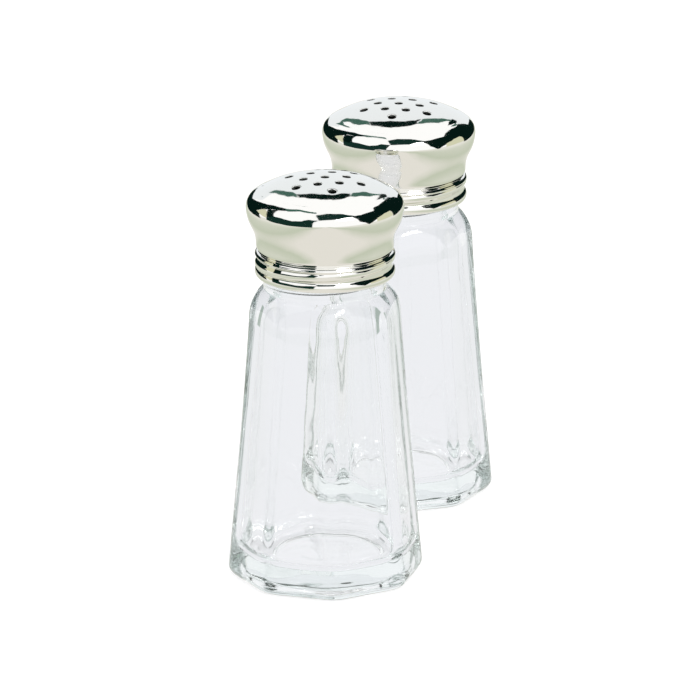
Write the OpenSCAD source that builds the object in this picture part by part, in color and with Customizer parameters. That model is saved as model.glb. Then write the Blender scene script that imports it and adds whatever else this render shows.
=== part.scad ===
// A pair of glass table shakers, one for salt and one for pepper, each with a screw-on domed metal cap.
// Origin: on the table, midway between the two. +X runs from the salt to the pepper, +Z is up.

/* [Pair] */
// Distance between the axes of the two shakers
pair_pitch = 67; // [54:1:100]
// Turn of the salt bottle's panels about its axis, in degrees
salt_bottle_turn = 0; // [0:1:45]
// Turn of the pepper bottle's panels about its axis, in degrees
pepper_bottle_turn = 33; // [0:1:45]
// Turn of the salt cap's hole pattern about its axis, in degrees
salt_cap_turn = 57; // [0:1:60]
// Turn of the pepper cap's hole pattern about its axis, in degrees
pepper_cap_turn = 35; // [0:1:60]

/* [Glass body] */
// Corner radius of the eight-sided body at the foot
foot_r = 24.3; // [23:0.1:26]
// Corner radius of the body just below the shoulder
shoulder_r = 18.7; // [18.5:0.1:21]
// Height at which the shoulder starts to round in
shoulder_z = 67; // [60:0.5:68]
// How far the sides sweep out towards the foot: 1 is a straight taper
flare = 1.15; // [1:0.05:1.6]
// Distance across the corners over the distance across the panels
corner_ratio = 1.055; // [1.03:0.005:1.08]
// Rounding of the heel
heel_round = 2.4; // [1:0.1:3]
// Thickness of the glass floor
floor_t = 6; // [4:0.5:9]
// Glass thickness between a body corner and the cavity
wall_t = 4.2; // [3.5:0.1:5]
// Rounding of the cavity where the floor meets the wall
floor_round = 4; // [2:0.5:6]
// Radius of the shallow recess in the underside
recess_r = 15; // [10:0.5:17]
// Depth of the recess in the underside
recess_depth = 0.8; // [0.4:0.1:1.5]

/* [Glass neck] */
// Radius of the neck below the thread
neck_r = 15.1; // [15:0.05:15.3]
// Radius of the mouth
mouth_r = 12.1; // [10:0.1:12.5]
// Height at which the shoulder meets the neck
neck_z = 73.8; // [73.5:0.1:74.5]
// Height of the lip
lip_z = 81.6; // [81.5:0.1:81.8]
// Rise of the thread in one turn
pitch = 4; // [3.8:0.1:4.1]
// Radius of the glass thread's crest
thread_r = 16.1; // [15.9:0.05:16.1]

/* [Seal ring] */
// Thickness of the seal ring
ring_t = 0.9; // [0.5:0.1:0.9]
// Outer radius of the seal ring
ring_r = 16; // [15.9:0.05:16.1]

/* [Metal cap] */
// Sheet thickness of the cap
sheet_t = 0.5; // [0.4:0.05:0.5]
// Outer radius of the cap's skirt
skirt_r = 16.8; // [16.8:0.05:17]
// Height of the centre of the curled edge at the bottom of the skirt
curl_z = 77.8; // [77.6:0.1:78]
// Radius of the curl at the bottom of the skirt
curl_r = 0.8; // [0.6:0.05:0.9]
// Outer radius of the crease between the skirt and the waist
crease_r = 16.3; // [16.2:0.05:16.4]
// Height of the crease
crease_z = 83.2; // [83.1:0.1:83.5]
// Outer radius of the mushroom rim
rim_r = 19.35; // [18.5:0.05:21]
// Height of the widest part of the rim
rim_z = 94.2; // [92:0.1:95]
// Height of the top of the dome
apex_z = 101.6; // [100:0.1:104]
// Diameter of the sprinkling holes
hole_d = 2.1; // [1.2:0.1:2.4]
// Radius of the inner circle of holes
hole_circle_1 = 5.35; // [4.8:0.05:5.6]
// Radius of the outer circle of holes
hole_circle_2 = 9.3; // [9:0.05:10]

/* [Hidden] */

$fn = 96;
salt_x = -pair_pitch / 2;
pepper_x = pair_pitch / 2;
shoulder_round = 4.6;   // height over which the panels turn in to the shoulder
neck_lap = 0.3;         // how far the shoulder runs on into the neck
lip_round = 0.8;        // rounding of the glass lip
thread_z = 76;          // height at which the glass thread starts
thread_start = 105;     // where round the neck it starts, in degrees from +X
thread_turn = 395;      // how far round the neck the glass thread runs
rib_turn = 285;         // how far round the skirt the cap's inner rib runs
bead_lag = 234;         // how far past the glass thread's start the cap's outer bead starts
bead_turn = 306;        // how far round the skirt the bead runs
rib_r = 15.6;           // inner radius of the rib that runs below the glass thread
bead_r = 17.25;         // outer radius of the bead that shows the thread on the outside
waist_r = 16.9;         // outer radius of the waist where it leaves the crease
waist_z = 84.6;         // height of that place
curl_x = skirt_r - sheet_t + 0.05;  // distance of the curl's centre from the axis
ring_bore_r = 12.8;      // radius of the hole in the seal ring
neck_root = 3;          // how far the neck's own solid reaches down into the shoulder
sweep_step = 10;        // degrees between sections of a thread
fade_turn = 30;         // degrees over which a thread's end fades out
ridge_sink = 0.2;       // how deep the foot of a thread lies in its wall
glass_thread_w = [2, 0.7];  // width of the glass thread at its foot and its crest
bead_w = [2.2, 0.8];    // the same of the cap's outer bead
rib_w = [1.8, 0.5];     // the same of the cap's inner rib

// Points on an arc about [x, y], both ends included
function arc(x, y, r, from, to, n) =
    [for (i = [0:n]) let (a = from + (to - from) * i / n) [x + r * cos(a), y + r * sin(a)]];

// Points on a cubic curve that leaves a towards b and reaches d from c, both ends included
function curve(a, b, c, d, n) =
    [for (i = [0:n]) let (t = i / n, u = 1 - t)
        u * u * u * a + 3 * u * u * t * b + 3 * u * t * t * c + t * t * t * d];

// All points of an outline but the first, which the outline before it already has
function tail(p) = [for (i = [1:len(p) - 1]) p[i]];

// The unit normal on the left of an outline at point i
function left_normal(p, i) =
    let (d = p[min(i + 1, len(p) - 1)] - p[max(i - 1, 0)]) [-d.y, d.x] / norm(d);

// The same open outline, moved to its left by t
function beside(p, t) = [for (i = [0:len(p) - 1]) p[i] + t * left_normal(p, i)];

// Corner radius of the body at a height
function corner_r(z) = shoulder_r + (foot_r - shoulder_r) * pow(max(0, 1 - z / shoulder_z), flare);

// Side outline of the body, from the heel to the neck, with its radius divided by k: a heel of that
// rounding, n points up the flare to the top of the side, and the shoulder
function side(k, heel, n, top) = concat(
    arc(corner_r(heel) / k - heel, heel, heel, -90, 0, 5),
    [for (i = [1:n]) let (z = heel + (top - heel) * i / n) [corner_r(z) / k, z]],
    curve([corner_r(top) / k, top], [shoulder_r / k - 0.3, top + shoulder_round],
        [neck_r + 0.3 * (shoulder_r / k - neck_r), neck_z - 0.9], [neck_r - neck_lap, neck_z], 7));

// A ridge that winds up the right-hand thread, from radius foot to radius crest, fading out at both ends.
// It starts lag degrees past the start of the glass thread, is raised by a share of the pitch, and w
// holds its widths at the foot and the crest.
module thread_ridge(foot, crest, lag, raise, turn, w) {
    z = thread_z + pitch * (lag / 360 + raise);
    n = ceil(turn / sweep_step);
    rings = [for (i = [0:n]) let (
            a = turn * i / n,
            rise = min(1, 0.15 + 0.85 * min(a, turn - a) / fade_turn),
            top = foot + (crest - foot) * rise,
            h = z + pitch * a / 360)
        for (q = [[foot, -w[0] / 2], [top, -w[1] / 2], [top, w[1] / 2], [foot, w[0] / 2]])
            [q.x * cos(a), q.x * sin(a), h + q.y]];
    sides = [for (i = [0:n - 1]) for (j = [0:3])
        [4 * i + j, 4 * i + (j + 1) % 4, 4 * i + 4 + (j + 1) % 4, 4 * i + 4 + j]];
    faces = concat([[3, 2, 1, 0]], sides, [[4 * n, 4 * n + 1, 4 * n + 2, 4 * n + 3]]);
    turned = [for (f = faces) [f[3], f[2], f[1], f[0]]];
    rotate(thread_start + lag) polyhedron(rings, crest > foot ? faces : turned, convexity = 6);
}

// Eight flared panels with softened corners. The corners' outline and the panels' outline break at
// different heights, which keeps the edges of their faces apart.
module panelled_body() {
    intersection() {
        rotate_extrude() polygon(concat([[0, 0]], side(1, heel_round + 0.3, 8, shoulder_z), [[0, neck_z]]));
        intersection_for(turn = [0:45:135]) panel_pair(turn);
    }
}

// The space between two opposite panels
module panel_pair(turn) {
    p = side(corner_ratio, heel_round, 7, shoulder_z - 0.8);
    mirrored = [for (i = [len(p) - 1:-1:0]) [-p[i].x, p[i].y]];
    rotate([90, 0, turn]) linear_extrude(2.4 * foot_r, center = true) polygon(concat(p, mirrored));
}

// The round cavity with its mouth
module cavity() {
    low_r = corner_r(floor_t + floor_round) - wall_t;
    high_r = shoulder_r - wall_t + 0.8;
    rotate_extrude() polygon(concat(
        [[0, floor_t]],
        arc(low_r - floor_round, floor_t + floor_round, floor_round, -90, 0, 6),
        curve([high_r, shoulder_z - 1], [high_r - 0.2, shoulder_z + 3.4],
            [mouth_r + 0.6, neck_z - 1.6], [mouth_r, neck_z + 0.4], 7),
        [[mouth_r, lip_z + 1], [0, lip_z + 1]]));
}

module bottle(panel_turn) {
    color([0.86, 0.91, 0.89, 0.5]) difference() {
        union() {
            rotate(panel_turn) panelled_body();
            rotate_extrude() polygon(concat([[0, neck_z - neck_root], [neck_r, neck_z - neck_root]],
                arc(neck_r - lip_round, lip_z - lip_round, lip_round, 0, 90, 4), [[0, lip_z]]));
            thread_ridge(neck_r - ridge_sink, thread_r, 0, 0, thread_turn, glass_thread_w);
        }
        cavity();
        translate([0, 0, -1]) cylinder(h = 1 + recess_depth, r = recess_r);
    }
}

module seal_ring() {
    color("whitesmoke") difference() {
        translate([0, 0, lip_z]) cylinder(h = ring_t, r = ring_r);
        translate([0, 0, lip_z - 1]) cylinder(h = ring_t + 2, r = ring_bore_r);
    }
}

// The cap's outer surface, from the bottom of the skirt over the crease, waist and rim to the dome's top
function cap_outline() = concat(
    [[skirt_r, curl_z]],
    curve([skirt_r, crease_z - 1], [skirt_r, crease_z - 0.4],
        [skirt_r - 0.2, crease_z - 0.15], [crease_r, crease_z], 4),
    curve([crease_r + 0.3, crease_z + 0.2], [crease_r + 0.5, crease_z + 0.6],
        [waist_r, waist_z - 0.6], [waist_r, waist_z], 3),
    tail(curve([waist_r, waist_z], [waist_r, rim_z - 4.7], [rim_r - 0.25, rim_z - 4.9],
        [rim_r, rim_z], 9)),
    tail(curve([rim_r, rim_z], [rim_r - 0.1, rim_z + 2.2],
        [rim_r - 1.6, rim_z + 3.2], [rim_r - 3.6, rim_z + 4.1], 6)),
    tail(curve([rim_r - 3.6, rim_z + 4.1], [rim_r - 7.5, apex_z - 1.1],
        [7, apex_z], [0, apex_z], 8)));

module cap(hole_turn) {
    outer = cap_outline();
    inner = beside(outer, sheet_t);
    last = len(inner) - 1;
    closed_inner = [for (i = [last:-1:0]) i == last ? [0, apex_z - sheet_t] : inner[i]];
    color("silver") difference() {
        union() {
            rotate_extrude() polygon(concat(outer, closed_inner));
            rotate_extrude() polygon(arc(curl_x, curl_z, curl_r, -90, 90, 8));
            thread_ridge(skirt_r - ridge_sink, bead_r, bead_lag, 0, bead_turn, bead_w);
            thread_ridge(skirt_r - sheet_t + ridge_sink, rib_r, 0, 0.5, rib_turn, rib_w);
        }
        rotate(hole_turn) sprinkling_holes();
    }
}

// One hole in the middle, six around it and six more between those
module sprinkling_holes() {
    hole();
    for (a = [0:60:300]) {
        rotate(a) translate([hole_circle_1, 0]) hole();
        rotate(a + 30) translate([hole_circle_2, 0]) hole();
    }
}

module hole() {
    translate([0, 0, rim_z]) cylinder(h = apex_z - rim_z + 1, d = hole_d, $fn = 32);
}

module salt_bottle() translate([salt_x, 0]) bottle(salt_bottle_turn);
module salt_seal_ring() translate([salt_x, 0]) seal_ring();
module salt_cap() translate([salt_x, 0]) cap(salt_cap_turn);
module pepper_bottle() translate([pepper_x, 0]) bottle(pepper_bottle_turn);
module pepper_seal_ring() translate([pepper_x, 0]) seal_ring();
module pepper_cap() translate([pepper_x, 0]) cap(pepper_cap_turn);

salt_bottle();
salt_seal_ring();
salt_cap();
pepper_bottle();
pepper_seal_ring();
pepper_cap();
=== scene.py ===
import math

import bpy
import numpy as np
from mathutils import Matrix, Vector
from mathutils.geometry import delaunay_2d_cdt


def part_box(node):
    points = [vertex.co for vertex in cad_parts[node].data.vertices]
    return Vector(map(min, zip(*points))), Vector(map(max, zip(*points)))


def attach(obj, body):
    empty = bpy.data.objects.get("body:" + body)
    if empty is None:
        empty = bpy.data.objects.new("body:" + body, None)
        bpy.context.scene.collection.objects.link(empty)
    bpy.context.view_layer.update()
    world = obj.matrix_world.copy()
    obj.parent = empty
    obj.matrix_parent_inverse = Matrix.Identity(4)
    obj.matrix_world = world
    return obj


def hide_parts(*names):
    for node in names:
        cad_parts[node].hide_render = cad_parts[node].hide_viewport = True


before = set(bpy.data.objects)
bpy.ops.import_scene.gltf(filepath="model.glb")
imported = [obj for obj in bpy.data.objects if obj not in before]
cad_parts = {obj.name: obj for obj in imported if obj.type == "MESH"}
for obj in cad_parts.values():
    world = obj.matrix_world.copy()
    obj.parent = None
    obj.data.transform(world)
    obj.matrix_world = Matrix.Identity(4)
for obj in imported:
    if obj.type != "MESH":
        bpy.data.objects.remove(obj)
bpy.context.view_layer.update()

MM = 0.001
SHAKERS = ("salt", "pepper")

# ---------------------------------------------------------------- sizes, in millimetres unless said otherwise

AROUND = 240            # columns of a turned mesh, one every 1.5 degrees
FOOT_R = 24.28          # corner radius of the glass body at the table
SHOULDER_R = 18.7       # corner radius under the shoulder
SHOULDER_Z = 67.0
FLARE = 1.15            # how far the sides sweep out towards the foot
PANEL_SHARPNESS = 26    # how crisp the corners between the eight panels are
HEEL = 2.6              # rounding of the heel
NECK_R = 15.1
NECK_Z = 73.8           # where the shoulder meets the neck
MOUTH_R = 12.1
FLOOR = 6.0             # thickness of the glass floor
WALL = 4.0              # from a body corner to the cavity, before the cavity is spread
FLOOR_ROUND = 4.0       # where the cavity's floor meets its wall
PANELS_INSIDE = 0.7     # how strongly the cavity's wall follows the panels, from 0 to 1
CAVITY_SPREAD = 0.05    # how much wider the cavity gets where it follows them, as a part of its radius
PANELS_FADE = 9         # height below the neck over which the cavity goes from round to panelled
RECESS_R = 15.0         # hollow in the underside
RECESS = 0.8
PITCH = 4.0
THREAD_R = 15.95        # crest of the glass thread, clear of the inside of the skirt
THREAD_Z = 76.0         # height at which the glass thread starts
THREAD_START = 105.0    # where round the neck it starts, in degrees from +X
THREAD_TURN = 395.0     # how far round it runs, in degrees
THREAD_HALF = 1.05      # half the width of the glass thread's foot
THREAD_FLAT = 0.3       # half the width of its crest
THREAD_FADE = 35        # how far round a thread takes to rise out of its surface, in degrees
LIP_ROUND = 0.8         # rounding of the lip on the outside
MOUTH_ROUND = 0.9       # and on the inside
UNDERSIDE_CROWN = 0.25  # how much higher the hollow underneath is in its middle
FLOOR_CROWN = 0.4       # how much thicker the glass floor is in its middle
SHOULDER_ROWS = 18
SHEET = 0.45            # thickness of the cap's sheet
SKIRT_R = 16.55         # outer radius of the cap's skirt between the ridges of its thread
ROLL = 0.62             # height of those ridges
ROLL_HALF = 1.5         # half the width of the rolled thread's foot
ROLL_FLAT = 0.2         # half the width of its crest
ROLL_RUN = (200, 680)   # where it starts and ends, in degrees from the start of the glass thread
CURL = 0.64             # how far the curled edge stands out, and half its height
CURL_HALF = 1.1
CREASE_R = 16.3
WAIST_R = 16.9
RIM_R = 19.35
DISC_R = 11.5           # the part of the dome that holds the holes
HOLE_R = 1.05
HOLE_CIRCLES = (5.35, 9.3)
HOLE_POINTS = 32        # points round the edge of a hole
HOLE_GAPS = (0.05, 0.13, 0.25, 0.42, 0.65)  # rings of points round each hole, from its edge
RIM_GAPS = (0.25, 0.55)  # rings of points inside the disc's rim, from the rim
DISC_STEP = 0.5         # spacing of the points between those
DISC_ROW = 0.866        # spacing of their rows, as a part of that
CLEAR_OF_HOLES = 0.95   # how far those points stay from a hole's edge
CLEAR_OF_RIM = 0.9      # and from the disc's rim
PUNCH_SINK = (0.16, 0.08)   # how far a hole's edge is drawn down, on top and underneath
PUNCH_REACH = (0.14, 0.08)  # how far from the hole that fades away
RING_R = 16.0           # seal ring, outside and inside
RING_BORE_R = 12.8

BOTTLE_TURN = {"salt": 0, "pepper": 33}     # turn of the panels about the axis, in degrees
HOLES_TURN = {"salt": 57, "pepper": 35}     # turn of the hole pattern, in degrees

LIP_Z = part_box("salt_bottle")[1].z / MM
SKIRT_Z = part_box("salt_cap")[0].z / MM
RING_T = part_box("salt_seal_ring")[1].z / MM - LIP_Z
APEX_Z = 101.6
CREASE_Z = LIP_Z + 1.6
WAIST_Z = CREASE_Z + 1.4
RIM_Z = APEX_Z - 7.4

# ---------------------------------------------------------------- curves and turned meshes

TURN = np.arange(AROUND) * 2 * math.pi / AROUND


def bezier(a, b, c, d, n):
    """n + 1 points on a cubic curve, both ends included."""
    t = np.linspace(0, 1, n + 1)[:, None]
    a, b, c, d = (np.array(p, float) for p in (a, b, c, d))
    return (1 - t) ** 3 * a + 3 * (1 - t) ** 2 * t * b + 3 * (1 - t) * t * t * c + t ** 3 * d


def arc(x, z, rx, rz, start, end, n):
    """n + 1 points on an arc of an ellipse, angles in degrees."""
    a = np.radians(np.linspace(start, end, n + 1))
    return np.c_[x + rx * np.cos(a), z + rz * np.sin(a)]


def line(a, b, n):
    """n + 1 points on a straight line."""
    return np.linspace(a, b, n + 1)


def joined(*parts):
    """One outline from several that meet end to end."""
    points = np.vstack(parts)
    apart = np.hypot(*np.diff(points, axis=0).T) > 1e-4
    return points[np.r_[True, apart]]


def beside(outline, gap):
    """The same open outline moved to its left."""
    step = np.gradient(outline, axis=0)
    step /= np.linalg.norm(step, axis=1)[:, None]
    return outline + gap * np.c_[-step[:, 1], step[:, 0]]


def smooth(x):
    """Goes from 0 to 1 as x does, levelling off at both ends."""
    x = np.clip(x, 0, 1)
    return x * x * (3 - 2 * x)


def row(r, z):
    """One row of a turned mesh; r and z are numbers, or hold one value a column."""
    return np.c_[r * np.cos(TURN), r * np.sin(TURN), z * np.ones(AROUND)]


def round_rows(outline):
    return [row(r, z) for r, z in outline]


def band_faces(rows, closed=False):
    """Quads between the rows of a turned mesh, facing right of the way the outline runs."""
    j = np.arange(AROUND)
    k = (j + 1) % AROUND
    faces = []
    for i in range(rows if closed else rows - 1):
        here, there = i * AROUND, (i + 1) % rows * AROUND
        faces += np.c_[here + j, here + k, there + k, there + j].tolist()
    return faces


def new_piece(name, points, faces, materials):
    """An object with smooth faces, its points in millimetres about its own axis."""
    mesh = bpy.data.meshes.new(name)
    mesh.from_pydata((np.asarray(points) * MM).tolist(), [], faces)
    mesh.shade_smooth()
    for material in materials:
        mesh.materials.append(material)
    piece = bpy.data.objects.new(name, mesh)
    bpy.context.scene.collection.objects.link(piece)
    return piece


def put_in_frame(piece, who, part):
    """Puts a piece on its shaker's axis and its CAD body, in place of the CAD node."""
    low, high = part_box(who + "_bottle")
    piece.data.transform(Matrix.Translation(((low.x + high.x) / 2, (low.y + high.y) / 2, 0)))
    node = who + "_" + part
    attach(piece, node)
    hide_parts(node)


# ---------------------------------------------------------------- the thread that bottle and cap share

def thread_relief(z, half_width, crest, first, last):
    """How far a ridge along the thread stands out at height z, one value a column, from 0 to 1.

    first and last say, in degrees from the start of the glass thread, where the ridge begins and ends.
    """
    relief = np.zeros(AROUND)
    lag = (np.degrees(TURN) - THREAD_START) % 360
    for turns in (0, 360, 720):
        along = lag + turns
        off = np.abs(z - THREAD_Z - PITCH * along / 360)
        fade = smooth(np.minimum(along - first, last - along) / THREAD_FADE)
        relief = np.maximum(relief, fade * (1 - smooth((off - crest) / (half_width - crest))))
    return relief


# ---------------------------------------------------------------- glass bottle

def corner_r(z):
    return SHOULDER_R + (FOOT_R - SHOULDER_R) * max(0, 1 - z / SHOULDER_Z) ** FLARE


def panelled(corner, turn, roundness=0.0):
    """Radius of a soft octagon at each column, from its corner radius; roundness 1 gives a circle."""
    total = np.zeros(AROUND)
    for k in range(8):
        total += np.maximum(0, np.cos(TURN - math.radians(turn + 45 * k))) ** PANEL_SHARPNESS
    at_corner = 2 * math.cos(math.pi / 8) ** PANEL_SHARPNESS
    octagon = (total / at_corner) ** (-1 / PANEL_SHARPNESS)
    return corner * (octagon * (1 - roundness) + roundness)


def underside_rows():
    hollow = joined(
        line((1, RECESS + UNDERSIDE_CROWN), (RECESS_R - 1.5, RECESS + 0.05), 6),
        bezier((RECESS_R - 1.5, RECESS + 0.05), (RECESS_R - 0.4, RECESS),
               (RECESS_R - 0.3, 0), (RECESS_R + 0.8, 0), 8),
        line((RECESS_R + 0.8, 0), (RECESS_R + 2.5, 0), 2))
    return round_rows(hollow)


def body_rows(turn):
    """Heel, panels and shoulder."""
    foot = panelled(corner_r(HEEL), turn)
    rows = []
    for a in np.radians(np.linspace(-90, 0, 10)):
        rows.append(row(foot - HEEL + HEEL * math.cos(a), HEEL + HEEL * math.sin(a)))
    for z in np.linspace(HEEL, SHOULDER_Z, 30)[1:]:
        rows.append(row(panelled(corner_r(z), turn), z))
    shoulder = bezier((SHOULDER_R, SHOULDER_Z), (SHOULDER_R - 0.3, SHOULDER_Z + 4.6),
                      (NECK_R + 0.3 * (SHOULDER_R - NECK_R), NECK_Z - 0.9), (NECK_R, NECK_Z), SHOULDER_ROWS)
    for i, (r, z) in enumerate(shoulder[1:], 1):
        rows.append(row(panelled(r, turn, smooth(i / SHOULDER_ROWS)), z))
    return rows


def neck_rows():
    rows = []
    for z in np.linspace(NECK_Z, LIP_Z - LIP_ROUND, 50)[1:]:
        relief = thread_relief(z, THREAD_HALF, THREAD_FLAT, 0, THREAD_TURN)
        rows.append(row(NECK_R + (THREAD_R - NECK_R) * relief, z))
    return rows


def lip_rows():
    return round_rows(joined(
        arc(NECK_R - LIP_ROUND, LIP_Z - LIP_ROUND, LIP_ROUND, LIP_ROUND, 0, 90, 6)[1:],
        line((NECK_R - LIP_ROUND, LIP_Z), (MOUTH_R + MOUTH_ROUND, LIP_Z), 2),
        arc(MOUTH_R + MOUTH_ROUND, LIP_Z - MOUTH_ROUND, MOUTH_ROUND, MOUTH_ROUND, 90, 180, 6),
        line((MOUTH_R, LIP_Z - MOUTH_ROUND), (MOUTH_R, NECK_Z + 0.4), 5)))


def cavity_rows(turn):
    """From the mouth down to the glass floor; the wall follows the panels outside, more softly."""
    low_r = corner_r(FLOOR + FLOOR_ROUND) - WALL
    high_r = SHOULDER_R - WALL
    high_z = SHOULDER_Z - 5
    outline = joined(
        bezier((MOUTH_R, NECK_Z + 0.4), (MOUTH_R + 0.4, NECK_Z - 2), (high_r - 0.5, SHOULDER_Z + 2.5),
               (high_r, high_z), 20)[1:],
        line((high_r, high_z), (low_r, FLOOR + FLOOR_ROUND), 24),
        arc(low_r - FLOOR_ROUND, FLOOR + FLOOR_ROUND, FLOOR_ROUND, FLOOR_ROUND, 0, -90, 12),
        bezier((low_r - FLOOR_ROUND, FLOOR), (9, FLOOR),
               (5, FLOOR + FLOOR_CROWN), (1, FLOOR + FLOOR_CROWN), 8))
    rows = []
    for r, z in outline:
        off_floor = smooth(r / low_r * 1.6 - 0.6)
        panels = smooth((NECK_Z - z) / PANELS_FADE) * off_floor
        rows.append(row(panelled(r * (1 + CAVITY_SPREAD * panels), turn, 1 - PANELS_INSIDE * panels), z))
    return rows


def make_bottle(who, glass):
    turn = BOTTLE_TURN[who]
    rows = underside_rows() + body_rows(turn) + neck_rows() + lip_rows() + cavity_rows(turn)
    faces = band_faces(len(rows))
    last = (len(rows) - 1) * AROUND
    under, inside = len(rows) * AROUND, len(rows) * AROUND + 1
    for j in range(AROUND):
        k = (j + 1) % AROUND
        faces.append((under, k, j))
        faces.append((inside, last + j, last + k))
    centres = [(0, 0, RECESS + UNDERSIDE_CROWN), (0, 0, FLOOR + FLOOR_CROWN)]
    piece = new_piece(who + "_bottle_glass", np.vstack(rows + [centres]), faces, [glass])
    put_in_frame(piece, who, "bottle")


# ---------------------------------------------------------------- metal cap

def dome_outline(n):
    """From the widest part of the rim over the edge to the top of the dome."""
    return joined(
        bezier((RIM_R, RIM_Z), (RIM_R - 0.1, RIM_Z + 2.2), (RIM_R - 1.6, RIM_Z + 3.2),
               (RIM_R - 3.6, RIM_Z + 4.1), n),
        bezier((RIM_R - 3.6, RIM_Z + 4.1), (RIM_R - 7.5, APEX_Z - 1.1), (7, APEX_Z), (0, APEX_Z), 2 * n))


def cap_outline():
    """From the crease up the waist and over the rim, as far as the disc that holds the holes."""
    dome = dome_outline(18)
    return joined(
        bezier((SKIRT_R + ROLL - 0.12, CREASE_Z - 0.55), (SKIRT_R + ROLL - 0.2, CREASE_Z - 0.1),
               (CREASE_R + 0.25, CREASE_Z - 0.1), (CREASE_R, CREASE_Z + 0.1), 8),
        bezier((CREASE_R, CREASE_Z + 0.1), (CREASE_R + 0.1, CREASE_Z + 0.6), (WAIST_R, WAIST_Z - 0.6),
               (WAIST_R, WAIST_Z), 8),
        bezier((WAIST_R, WAIST_Z), (WAIST_R, RIM_Z - 4.7), (RIM_R - 0.25, RIM_Z - 4.9), (RIM_R, RIM_Z), 24),
        dome[dome[:, 0] > DISC_R + 0.3])


def skirt_radii(z):
    """Outer radius of the skirt, with the rolled thread and the ridge under the crease."""
    top_ridge = 1 - smooth(abs(z - CREASE_Z + 0.8) / 0.9)
    ridge = thread_relief(z, ROLL_HALF, ROLL_FLAT, *ROLL_RUN)
    return SKIRT_R + ROLL * np.maximum(top_ridge, ridge)


def height_at(outline):
    """Height of a surface as a function of its distance from the axis."""
    ordered = outline[np.argsort(outline[:, 0])]
    return lambda r: np.interp(r, ordered[:, 0], ordered[:, 1])


def hole_centres(turn):
    """One hole in the middle, six around it and six more between those."""
    centres = [(0.0, 0.0)]
    for ring, radius in enumerate(HOLE_CIRCLES):
        for k in range(6):
            a = math.radians(turn + 60 * k + 30 * ring)
            centres.append((radius * math.cos(a), radius * math.sin(a)))
    return np.array(centres)


def disc_layout(centres):
    """Points and triangles of a flat disc with the holes left out.

    Its rim's points come first, then those on the edges of the holes.
    """
    rim = np.c_[DISC_R * np.cos(TURN), DISC_R * np.sin(TURN)]
    round_hole = np.arange(HOLE_POINTS) * 2 * math.pi / HOLE_POINTS
    circle = np.c_[np.cos(round_hole), np.sin(round_hole)]
    edges = [centre + HOLE_R * circle for centre in centres]
    lips = [centre + (HOLE_R + gap) * circle for centre in centres for gap in HOLE_GAPS]
    inner_rims = [rim * (1 - gap / DISC_R) for gap in RIM_GAPS]
    furthest = math.ceil(DISC_R / (DISC_STEP * DISC_ROW)) + 1
    reach = range(-furthest, furthest + 1)
    grid = [(x * DISC_STEP + (y % 2) * DISC_STEP / 2, y * DISC_STEP * DISC_ROW) for x in reach for y in reach]
    filling = []
    for point in np.array(grid):
        clear = np.hypot(*(centres - point).T).min() > HOLE_R + CLEAR_OF_HOLES
        if clear and np.hypot(*point) < DISC_R - CLEAR_OF_RIM:
            filling.append(point)
    points = np.vstack([rim, *edges, *lips, *inner_rims, filling])
    loops = [(j, (j + 1) % AROUND) for j in range(AROUND)]
    for i in range(len(centres)):
        base = AROUND + i * HOLE_POINTS
        loops += [(base + j, base + (j + 1) % HOLE_POINTS) for j in range(HOLE_POINTS)]
    found = delaunay_2d_cdt([Vector(p) for p in points], loops, [], 1, 1e-7)
    placed = np.array([tuple(p) for p in found[0]])
    if len(placed) != len(points):
        raise ValueError("the disc's points moved")
    triangles = []
    for face in found[2]:
        middle = placed[list(face)].mean(axis=0)
        if np.hypot(*(centres - middle).T).min() > HOLE_R * 0.98:
            triangles.append(tuple(face))
    return placed, triangles


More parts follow.
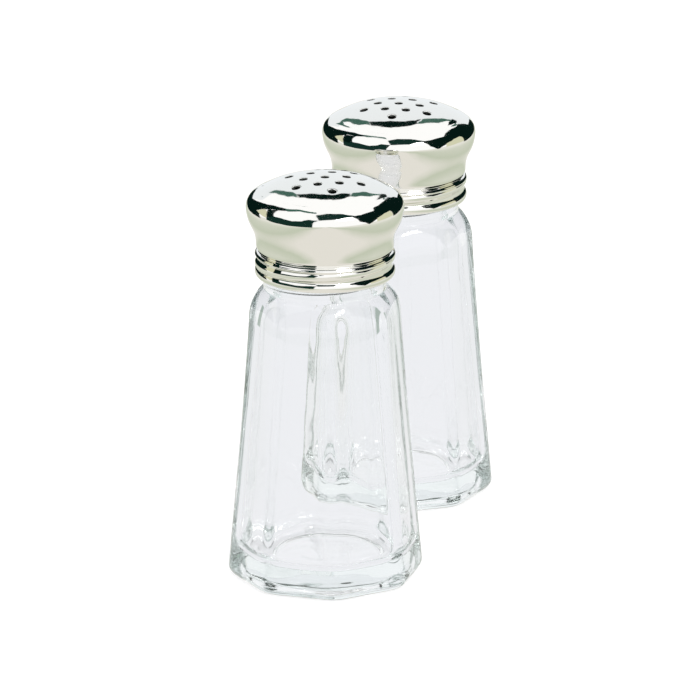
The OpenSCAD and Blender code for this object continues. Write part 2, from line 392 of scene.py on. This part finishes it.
def make_cap(who, chrome, painted_shade_inside):
    outer = cap_outline()
    inner = beside(outer, SHEET)
    dense = dome_outline(200)
    outer_z = height_at(dense)
    inner_z = height_at(beside(dense, SHEET))
    skirt_heights = np.linspace(SKIRT_Z + 2.35, CREASE_Z - 0.6, 44)

    # rows run down the inside, round the curled edge and up the outside
    inside = [row(DISC_R, inner_z(DISC_R))] + round_rows(inner[::-1])
    inside += [row(skirt_radii(z) - SHEET, z) for z in skirt_heights[::-1]]
    curl = round_rows(joined(
        line((SKIRT_R - SHEET, SKIRT_Z + 1.5), (SKIRT_R - SHEET, SKIRT_Z + 0.5), 3),
        arc(SKIRT_R - SHEET + 0.45, SKIRT_Z + 0.5, 0.45, 0.5, 180, 270, 5),
        arc(SKIRT_R, SKIRT_Z + CURL_HALF, CURL, CURL_HALF, -90, 66, 14)))
    outside = [row(skirt_radii(z), z) for z in skirt_heights]
    outside += round_rows(outer) + [row(DISC_R, outer_z(DISC_R))]
    rows = inside + curl + outside
    faces = band_faces(len(rows))
    inside_faces = (len(inside) - 1) * AROUND

    centres = hole_centres(HOLES_TURN[who])
    flat, triangles = disc_layout(centres)
    from_axis = np.hypot(flat[:, 0], flat[:, 1])
    from_edge = np.min([np.hypot(*(flat - c).T) for c in centres], axis=0) - HOLE_R
    from_edge = np.maximum(from_edge, 0)
    top = outer_z(from_axis) - PUNCH_SINK[0] * np.exp(-from_edge / PUNCH_REACH[0])
    under = inner_z(from_axis) - PUNCH_SINK[1] * np.exp(-from_edge / PUNCH_REACH[1])
    free = np.arange(AROUND, len(flat))
    base = len(rows) * AROUND
    top_index = np.r_[(len(rows) - 1) * AROUND + np.arange(AROUND), base + free - AROUND]
    under_index = np.r_[np.arange(AROUND), base + len(free) + free - AROUND]
    top_faces = [tuple(top_index[list(t)].tolist()) for t in triangles]
    under_faces = [tuple(under_index[list(t)[::-1]].tolist()) for t in triangles]
    walls = []
    for i in range(len(centres)):
        for j in range(HOLE_POINTS):
            a = AROUND + i * HOLE_POINTS + j
            b = AROUND + i * HOLE_POINTS + (j + 1) % HOLE_POINTS
            walls.append((top_index[a], under_index[a], under_index[b], top_index[b]))
    walls = [tuple(int(v) for v in wall) for wall in walls]
    points = np.vstack(rows + [np.c_[flat[free], top[free]], np.c_[flat[free], under[free]]])
    all_faces = faces + top_faces + walls + under_faces
    piece = new_piece(who + "_cap_metal", points, all_faces, [chrome, painted_shade_inside])
    # the inside faces, the hole walls and the underside of the disc take the metal with painted shade
    kind = np.zeros(len(piece.data.polygons), np.int32)
    kind[:inside_faces] = 1
    kind[len(faces) + len(top_faces):] = 1
    piece.data.polygons.foreach_set("material_index", kind)
    put_in_frame(piece, who, "cap")


# ---------------------------------------------------------------- seal ring

def make_seal_ring(who, seal):
    """A flat ring with rounded edges that lies on the lip."""
    soft = 0.3
    low, high = LIP_Z, LIP_Z + RING_T
    rows = round_rows(joined(
        arc(RING_R - soft, low + soft, soft, soft, -90, 0, 5),
        arc(RING_R - soft, high - soft, soft, soft, 0, 90, 5),
        arc(RING_BORE_R + soft, high - soft, soft, soft, 90, 180, 5),
        arc(RING_BORE_R + soft, low + soft, soft, soft, 180, 270, 5)))
    piece = new_piece(who + "_seal_ring_liner", np.vstack(rows), band_faces(len(rows), closed=True), [seal])
    put_in_frame(piece, who, "seal_ring")


# ---------------------------------------------------------------- materials

def new_material(name):
    """A node material with a Principled shader; gives the material, its nodes, its links and the shader."""
    material = bpy.data.materials.new(name)
    material.use_nodes = True
    nodes, links = material.node_tree.nodes, material.node_tree.links
    return material, nodes, links, nodes["Principled BSDF"]


def noise(nodes, links, scale, detail):
    """Noise in the piece's own space, its scale in waves a metre."""
    place = nodes.new("ShaderNodeTexCoord")
    texture = nodes.new("ShaderNodeTexNoise")
    texture.inputs["Scale"].default_value = scale
    texture.inputs["Detail"].default_value = detail
    links.new(place.outputs["Object"], texture.inputs["Vector"])
    return texture.outputs["Fac"]


def spread(nodes, links, source, low, high):
    """Maps noise to a range of values."""
    remap = nodes.new("ShaderNodeMapRange")
    remap.inputs["From Min"].default_value = 0.3
    remap.inputs["From Max"].default_value = 0.7
    remap.inputs["To Min"].default_value = low
    remap.inputs["To Max"].default_value = high
    links.new(source, remap.inputs["Value"])
    return remap.outputs["Result"]


def bump(nodes, links, source, distance, shader, strength):
    node = nodes.new("ShaderNodeBump")
    node.inputs["Strength"].default_value = strength
    node.inputs["Distance"].default_value = distance
    links.new(source, node.inputs["Height"])
    links.new(node.outputs["Normal"], shader.inputs["Normal"])


def glass_material():
    """Clear pressed glass: faintly wavy skin, light handling marks and a green-grey tint in its depth."""
    material, nodes, links, shader = new_material("clear_glass")
    shader.inputs["Base Color"].default_value = (1, 1, 1, 1)
    shader.inputs["Transmission Weight"].default_value = 1
    shader.inputs["IOR"].default_value = 1.5
    links.new(spread(nodes, links, noise(nodes, links, 120, 4), 0, 0.03), shader.inputs["Roughness"])
    bump(nodes, links, noise(nodes, links, 90, 1), 0.0004, shader, 0.5)
    depth = nodes.new("ShaderNodeVolumeAbsorption")
    depth.inputs["Color"].default_value = (0.80, 0.90, 0.87, 1)
    depth.inputs["Density"].default_value = 10
    links.new(depth.outputs["Volume"], nodes["Material Output"].inputs["Volume"])
    return material


def chrome_material():
    """Polished chrome plate, slightly uneven as stamped sheet is, with faint handling marks."""
    material, nodes, links, shader = new_material("polished_chrome")
    shader.inputs["Base Color"].default_value = (0.88, 0.87, 0.83, 1)
    shader.inputs["Metallic"].default_value = 1
    links.new(spread(nodes, links, noise(nodes, links, 260, 5), 0.03, 0.09), shader.inputs["Roughness"])
    bump(nodes, links, noise(nodes, links, 130, 2), 0.0003, shader, 0.6)
    return material


def painted_shade_inside_material():
    """The inside of the cap, dull, its near-black colour painted shade; the mottle is random tone."""
    material, nodes, links, shader = new_material("inside_metal_painted_shade")
    # painted shade: near-black metal, so the inside seen through the holes stays dark
    painted_shade_mottle = nodes.new("ShaderNodeValToRGB")
    painted_shade_mottle.color_ramp.elements[0].color = (0.03, 0.035, 0.03, 1)
    painted_shade_mottle.color_ramp.elements[1].color = (0.09, 0.095, 0.085, 1)
    links.new(noise(nodes, links, 400, 4), painted_shade_mottle.inputs["Fac"])
    links.new(painted_shade_mottle.outputs["Color"], shader.inputs["Base Color"])
    shader.inputs["Metallic"].default_value = 1
    links.new(spread(nodes, links, noise(nodes, links, 900, 3), 0.35, 0.55), shader.inputs["Roughness"])
    return material


def seal_material():
    """Off-white soft ring with a fine moulded grain."""
    material, nodes, links, shader = new_material("soft_seal")
    tone = nodes.new("ShaderNodeValToRGB")
    tone.color_ramp.elements[0].color = (0.74, 0.74, 0.69, 1)
    tone.color_ramp.elements[1].color = (0.84, 0.84, 0.80, 1)
    links.new(noise(nodes, links, 500, 3), tone.inputs["Fac"])
    links.new(tone.outputs["Color"], shader.inputs["Base Color"])
    shader.inputs["Roughness"].default_value = 0.6
    bump(nodes, links, noise(nodes, links, 5000, 2), 0.00005, shader, 0.5)
    return material


def plain_material(name, colour, glow):
    """An even, matt stage surface that also gives off a little light of its own."""
    material, nodes, links, shader = new_material(name)
    shader.inputs["Base Color"].default_value = (*colour, 1)
    shader.inputs["Roughness"].default_value = 0.8
    shader.inputs["Specular IOR Level"].default_value = 0
    shader.inputs["Emission Color"].default_value = (*glow, 1)
    shader.inputs["Emission Strength"].default_value = 1
    return material


def glowing(name, glow):
    return plain_material(name, (0, 0, 0), glow)


def painted_shade_table_material():
    """The table as the chrome sees it, with painted shade: ivory, greener and darker to both sides of the
    shakers.
    """
    material, nodes, links, shader = new_material("painted_shade_table")
    shader.inputs["Base Color"].default_value = (0, 0, 0, 1)
    shader.inputs["Specular IOR Level"].default_value = 0
    shader.inputs["Emission Strength"].default_value = 1
    place = nodes.new("ShaderNodeTexCoord")
    sideways = nodes.new("ShaderNodeVectorMath")
    sideways.operation = "DOT_PRODUCT"
    sideways.inputs[1].default_value = view_axes()[1]
    links.new(place.outputs["Object"], sideways.inputs[0])
    off_centre = nodes.new("ShaderNodeMath")
    off_centre.operation = "ABSOLUTE"
    links.new(sideways.outputs["Value"], off_centre.inputs[0])
    # painted shade: the table is ivory near the shakers, with darker green bands of painted shade to both
    # sides
    tone = nodes.new("ShaderNodeValToRGB")
    ramp = tone.color_ramp
    ramp.elements[0].position = 0.06
    ramp.elements[0].color = (0.86, 0.84, 0.79, 1)
    ramp.elements[1].position = 0.4
    ramp.elements[1].color = (0.86, 0.86, 0.80, 1)
    green = ramp.elements.new(0.13)
    green.color = (0.60, 0.65, 0.53, 1)
    links.new(off_centre.outputs["Value"], tone.inputs["Fac"])
    links.new(tone.outputs["Color"], shader.inputs["Emission Color"])
    return material


# ---------------------------------------------------------------- studio, in metres

VIEW_AZIMUTH = -74.1        # degrees round the object, as the photograph is taken
VIEW_ELEVATION = 18.1
VIEW_DISTANCE = 1.8
LENS = 371                  # long lens, on a 36 mm wide sensor
MIDDLE_HEIGHT = 0.05        # about half the height of a shaker
AIM = (-0.0031, -0.0031, MIDDLE_HEIGHT)  # offset to the right, offset up and height of the point aimed at
CAP_HEIGHT = 0.095          # where the studio cards' bearings and elevations are measured from
CARD_DISTANCE = 0.8
CARD_LIFT = 0.0005          # how far above the table a card stops
IVORY_DISTANCE = 0.82       # behind the dark cards
BACKDROP_DISTANCE = 0.9     # behind all other cards
FLOOR_HALF = 4.0
FLOOR_GAP = 0.0001          # between the floors that the camera, the chrome and the glass see
TENT_DISTANCE = 2.5
TENT_HEIGHT = 2.5
TENT_TOP_HALF = 2.6
EDGE_FLAG_DISTANCE = 0.75   # grey strip that the thick edges of the glass pick up
EDGE_FLAG_HEIGHT = 0.16


def view_axes():
    """Unit vectors from the object to the camera, to the camera's right and up its frame."""
    a, e = math.radians(VIEW_AZIMUTH), math.radians(VIEW_ELEVATION)
    back = Vector((math.sin(a) * math.cos(e), -math.cos(a) * math.cos(e), math.sin(e)))
    right = Vector((math.cos(a), math.sin(a), 0))
    return back, right, back.cross(right)


def make_camera():
    back, right, up = view_axes()
    aim = right * AIM[0] + up * AIM[1] + Vector((0, 0, AIM[2]))
    data = bpy.data.cameras.new("camera")
    data.lens = LENS
    data.sensor_width = 36
    camera = bpy.data.objects.new("camera", data)
    camera.location = aim + back * VIEW_DISTANCE
    camera.rotation_mode = "QUATERNION"
    camera.rotation_quaternion = (-back).to_track_quat("-Z", "Y")
    bpy.context.scene.collection.objects.link(camera)
    bpy.context.scene.camera = camera


def stage_mesh(name, points, faces, material):
    mesh = bpy.data.meshes.new(name)
    mesh.from_pydata(points, [], faces)
    mesh.materials.append(material)
    thing = bpy.data.objects.new(name, mesh)
    bpy.context.scene.collection.objects.link(thing)
    return thing


def seen_by(thing, chrome=False, glass=False):
    """Hides a card from the camera and from shadows; it shows in reflections, through glass or both."""
    thing.visible_camera = False
    thing.visible_diffuse = False
    thing.visible_shadow = False
    thing.visible_volume_scatter = False
    thing.visible_glossy = chrome
    thing.visible_transmission = glass


def around(bearing, distance, height):
    """A point at a bearing from the camera's side, in degrees to the camera's right."""
    back, right, _ = view_axes()
    ahead = Vector((back.x, back.y, 0)).normalized()
    b = math.radians(bearing)
    return tuple(ahead * distance * math.cos(b) + right * distance * math.sin(b) + Vector((0, 0, height)))


def card(name, distance, corners, material):
    """A card in the chrome's surroundings, its corners given as (bearing, elevation) from the caps.

    A corner that would lie below the table is brought nearer, to just above it.
    """
    points = []
    for bearing, elevation in corners:
        e = math.radians(elevation)
        drop = max(1, -distance * math.sin(e) / (CAP_HEIGHT - CARD_LIFT))
        reach = distance / drop
        points.append(around(bearing, reach * math.cos(e), CAP_HEIGHT + reach * math.sin(e)))
    thing = stage_mesh(name, points, [tuple(range(len(points)))], material)
    seen_by(thing, chrome=True)


def square(name, half, height, material):
    corners = [(-half, -half, height), (half, -half, height), (half, half, height), (-half, half, height)]
    return stage_mesh(name, corners, [(0, 1, 2, 3)], material)


def ring_wall(name, bearings, distance, low, high, material):
    """An upright strip along a run of bearings, seen only through the glass."""
    points = [around(b, distance, z) for b in bearings for z in (low, high)]
    faces = [(2 * i, 2 * i + 1, 2 * i + 3, 2 * i + 2) for i in range(len(bearings) - 1)]
    seen_by(stage_mesh(name, points, faces, material), glass=True)


def make_floors():
    """The floor as the camera, the chrome and the glass each see it."""
    floor = square("floor", FLOOR_HALF, 0, plain_material("pale_floor", (0.3, 0.3, 0.3), (0.8, 0.8, 0.8)))
    floor.visible_glossy = False
    floor.visible_transmission = False
    # the chrome sees the table with painted shade, ivory and greener to the sides
    mirrored = square("floor_in_the_chrome", FLOOR_HALF, -FLOOR_GAP, painted_shade_table_material())
    seen_by(mirrored, chrome=True)
    soft_white = glowing("soft_white", (0.87, 0.875, 0.91))
    through = square("floor_through_glass", FLOOR_HALF, -2 * FLOOR_GAP, soft_white)
    seen_by(through, glass=True)


def make_glass_surroundings():
    """A pale tent that lights the glass from all sides, and a grey strip that draws its edges."""
    pale = glowing("tent_white", (0.95, 0.955, 0.98))
    ring_wall("tent_side", np.linspace(-180, 180, 73), TENT_DISTANCE, 0, TENT_HEIGHT, pale)
    seen_by(square("tent_top", TENT_TOP_HALF, TENT_HEIGHT, pale), glass=True)
    grey = glowing("edge_grey", (0.40, 0.47, 0.43))
    ring_wall("edge_flags", np.linspace(-128, 128, 65), EDGE_FLAG_DISTANCE, 0, EDGE_FLAG_HEIGHT, grey)


def make_cards():
    """What the chrome mirrors: a dark room in front, a pale backdrop behind and a rail across it."""
    near, far = CARD_DISTANCE, BACKDROP_DISTANCE
    black = glowing("dark_room", (0.002, 0.010, 0.008))
    green = glowing("dark_green", (0.008, 0.030, 0.024))
    ivory = glowing("ivory_card", (0.72, 0.72, 0.52))
    grey = glowing("grey_backdrop", (0.92, 0.96, 1.0))
    rail_end = glowing("rail_green", (0.06, 0.14, 0.11))

    # right of the shakers, as the camera sees them
    card("right_flag", near, [(165, -8), (112, -8), (112, 50), (133, 50), (150, 36), (156, 28),
                              (154, 14), (165, 2)], black)
    card("right_arc", near, [(114, 50), (114, 22), (100, 24), (80, 14), (76, 58), (97, 57)], black)
    card("front_right_arc", near, [(80, 60), (80, 14), (62, -8), (50, 19), (52, 50), (60, 62)], black)

    # above
    card("overhead", near, [(150, 86), (90, 76), (66, 60), (22, 52), (-14, 46), (-20, 60),
                            (-50, 78), (-170, 86)], green)

    # left, with an arm that runs from the flag's top up over the shakers
    card("left_flag", near, [(-168, -8), (-116, -8), (-116, 42), (-122, 50), (-139, 47), (-143, 31),
                             (-151, 14), (-168, 4)], black)
    card("left_flag_top", near, [(-139, 45), (-135, 58), (-120, 61), (-117, 52), (-120, 44)], black)
    card("left_edge_overhead", near, [(-135, 57), (-138, 67), (-124, 70), (-115, 62)], rail_end)
    card("left_edge_overhead_end", near, [(-138, 67), (-142, 78), (-100, 82), (-124, 70)], rail_end)
    card("left_foot", near, [(-118, -8), (-102, -8), (-106, 8), (-118, 14)], black)
    card("left_arc", near, [(-118, 54), (-116, 40), (-102, 30), (-92, 14), (-90, -4), (-76, -4),
                            (-80, 26), (-98, 44)], black)
    card("front_left_flag", near, [(-90, -6), (-18, -6), (-15, 46), (-32, 50), (-36, 34), (-50, 24),
                                   (-70, 28), (-90, 22)], green)

    # behind
    card("backdrop", far, [(150, -4), (210, -4), (210, 30), (150, 30)], grey)
    card("backdrop_top", far, [(154, 28), (206, 28), (196, 50), (164, 50)], grey)
    card("rail", near, [(-163, 45), (-175, 50), (175, 50), (167, 45), (162, 53), (172, 62),
                        (-172, 62), (-156, 54)], black)
    card("rail_right", near, [(166, 44), (160, 36), (154, 28), (153, 42), (162, 53)], rail_end)
    card("rail_left", near, [(-163, 45), (-160, 26), (-156, 24), (-154, 40), (-156, 53)], rail_end)

    # warm cards seen in the gaps between the dark ones
    card("ivory_left", IVORY_DISTANCE, [(-116, 12), (-92, 2), (-92, 16), (-104, 32), (-116, 36)], ivory)
    card("ivory_right", IVORY_DISTANCE, [(112, -4), (76, -4), (78, 24), (98, 28), (112, 24)], ivory)


def make_lamp(name, bearing, distance, height, size, power):
    data = bpy.data.lights.new(name, "AREA")
    data.shape = "SQUARE"
    data.size = size
    data.energy = power
    lamp = bpy.data.objects.new(name, data)
    lamp.location = around(bearing, distance, height)
    to_object = Vector((0, 0, MIDDLE_HEIGHT)) - lamp.location
    lamp.rotation_mode = "QUATERNION"
    lamp.rotation_quaternion = to_object.to_track_quat("-Z", "Y")
    lamp.visible_camera = False
    bpy.context.scene.collection.objects.link(lamp)


def make_lights():
    world = bpy.data.worlds.new("studio")
    world.use_nodes = True
    sky = world.node_tree.nodes["Background"]
    sky.inputs["Color"].default_value = (0.975, 0.98, 1, 1)
    sky.inputs["Strength"].default_value = 1.15
    bpy.context.scene.world = world
    bpy.context.scene.view_settings.view_transform = "Standard"
    make_lamp("soft_box", bearing=35, distance=0.7, height=0.9, size=0.35, power=2.5)
    make_lamp("spark", bearing=26, distance=0.9, height=0.95, size=0.09, power=2.0)


def let_light_through():
    """Allows enough turns inside the thick glass for its heel and edges to stay clear."""
    paths = bpy.context.scene.cycles
    paths.max_bounces = 32
    paths.transmission_bounces = 24
    paths.glossy_bounces = 20


# ---------------------------------------------------------------- build

make_camera()
make_floors()
make_glass_surroundings()
make_cards()
make_lights()
let_light_through()
# the cap's inside takes a metal with painted shade
GLASS, CHROME, PAINTED_SHADE_INSIDE, SEAL = glass_material(), chrome_material(), painted_shade_inside_material(), seal_material()
for shaker in SHAKERS:
    make_bottle(shaker, GLASS)
    make_seal_ring(shaker, SEAL)
    make_cap(shaker, CHROME, PAINTED_SHADE_INSIDE)
